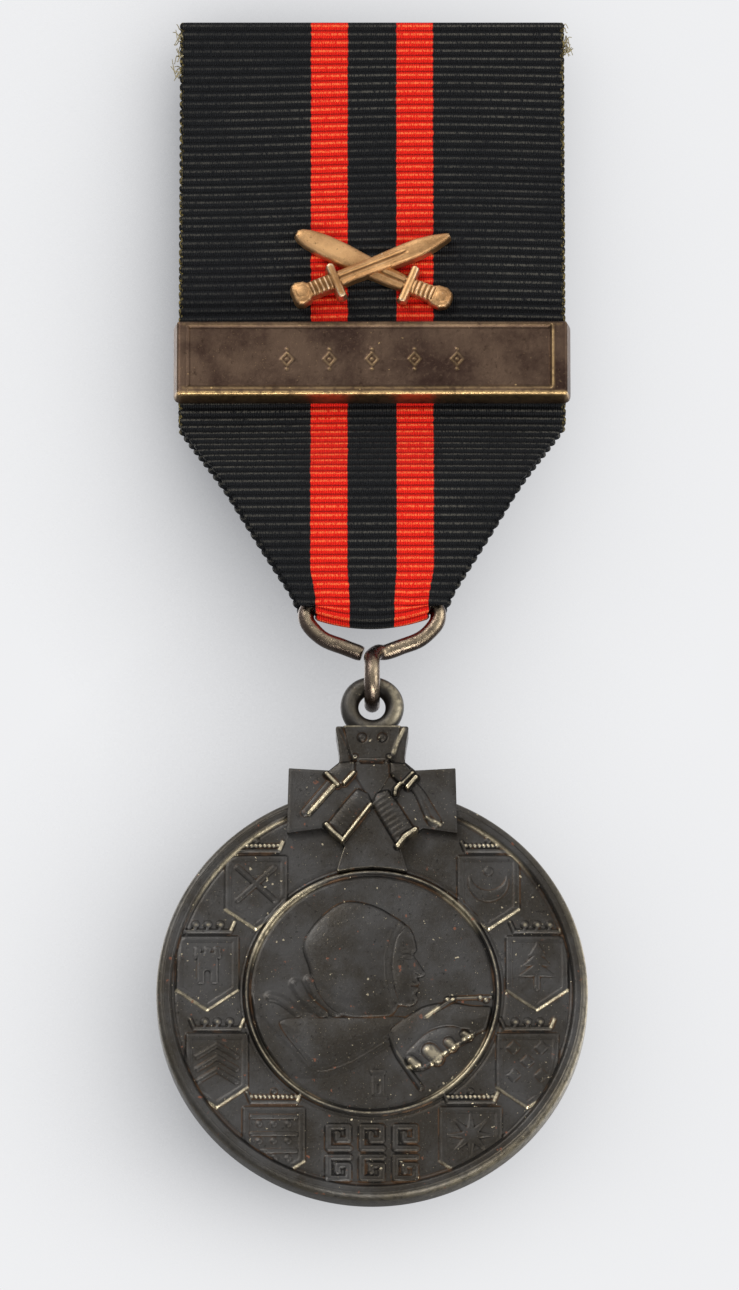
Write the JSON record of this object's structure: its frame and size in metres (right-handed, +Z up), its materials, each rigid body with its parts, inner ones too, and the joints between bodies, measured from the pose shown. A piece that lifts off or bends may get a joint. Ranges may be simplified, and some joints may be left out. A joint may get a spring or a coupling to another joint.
{
  "type": "military service medal",
  "caption": "Round struck medal on a wire stirrup and ribbon, with a sliding bar clasp, crossed swords and a pin brooch behind.",
  "frame": {"origin": "middle of the brooch needle's line behind the ribbon's top, where the wearer's cloth holds the medal", "axes": "+Z up along the ribbon, -Y the way the medal faces, +X to the viewer's right"},
  "size_m": [0.033, 0.01, 0.097],
  "materials": {
    "ribbon_cloth": "ribbed black silk ribbon with two scarlet stripes",
    "sewing_thread": "black cotton thread",
    "gilt_bronze": "worn gilding",
    "patinated_bronze": "brown patina, bright at the worn edges",
    "brooch_brass": "dull brass",
    "needle_steel": "drawn steel",
    "tarnished_wire": "tarnished, bright where it rubs",
    "blackened_iron": "blackened, with worn high points"
  },
  "bodies": {
    "pinned_ribbon": {"ribbon": "ribbon_cloth", "brooch_plate": "brooch_brass", "stitch_lower_left": "sewing_thread", "stitch_upper_left": "sewing_thread", "stitch_lower_right": "sewing_thread", "stitch_upper_right": "sewing_thread", "brooch_hinge_bracket": "brooch_brass", "brooch_rivet": "brooch_brass", "brooch_catch": "brooch_brass", "crossed_swords": "gilt_bronze", "swords_prong_left": "gilt_bronze", "swords_prong_right": "gilt_bronze"},
    "needle": {"brooch_needle": "needle_steel"},
    "clasp": {"clasp_bar": "patinated_bronze", "clasp_back_strap": "patinated_bronze"},
    "stirrup": {"suspension_wire": "tarnished_wire"},
    "medal": {"medal_disc": "blackened_iron", "medal_eye": "blackened_iron"}
  },
  "joints": [
    {"name": "needle_swing", "type": "hinge", "parent": "pinned_ribbon", "child": "needle", "pos_m": [-0.011, 0, 0], "axis": [0, 0, 1], "range_deg": [0, 75]},
    {"name": "clasp_slide", "type": "slide", "parent": "pinned_ribbon", "child": "clasp", "axis": [0, 0, 1], "range_m": [-0.0006, 0.0007]},
    {"name": "stirrup_swing", "type": "hinge", "parent": "pinned_ribbon", "child": "stirrup", "pos_m": [0, -0.00653, -0.0444], "axis": [1, 0, 0], "range_deg": [-90, 90]},
    {"name": "medal_turn", "type": "hinge", "parent": "stirrup", "child": "medal", "pos_m": [0, -0.00653, -0.05248], "axis": [0, 1, 0], "range_deg": [-80, 80]}
  ]
}
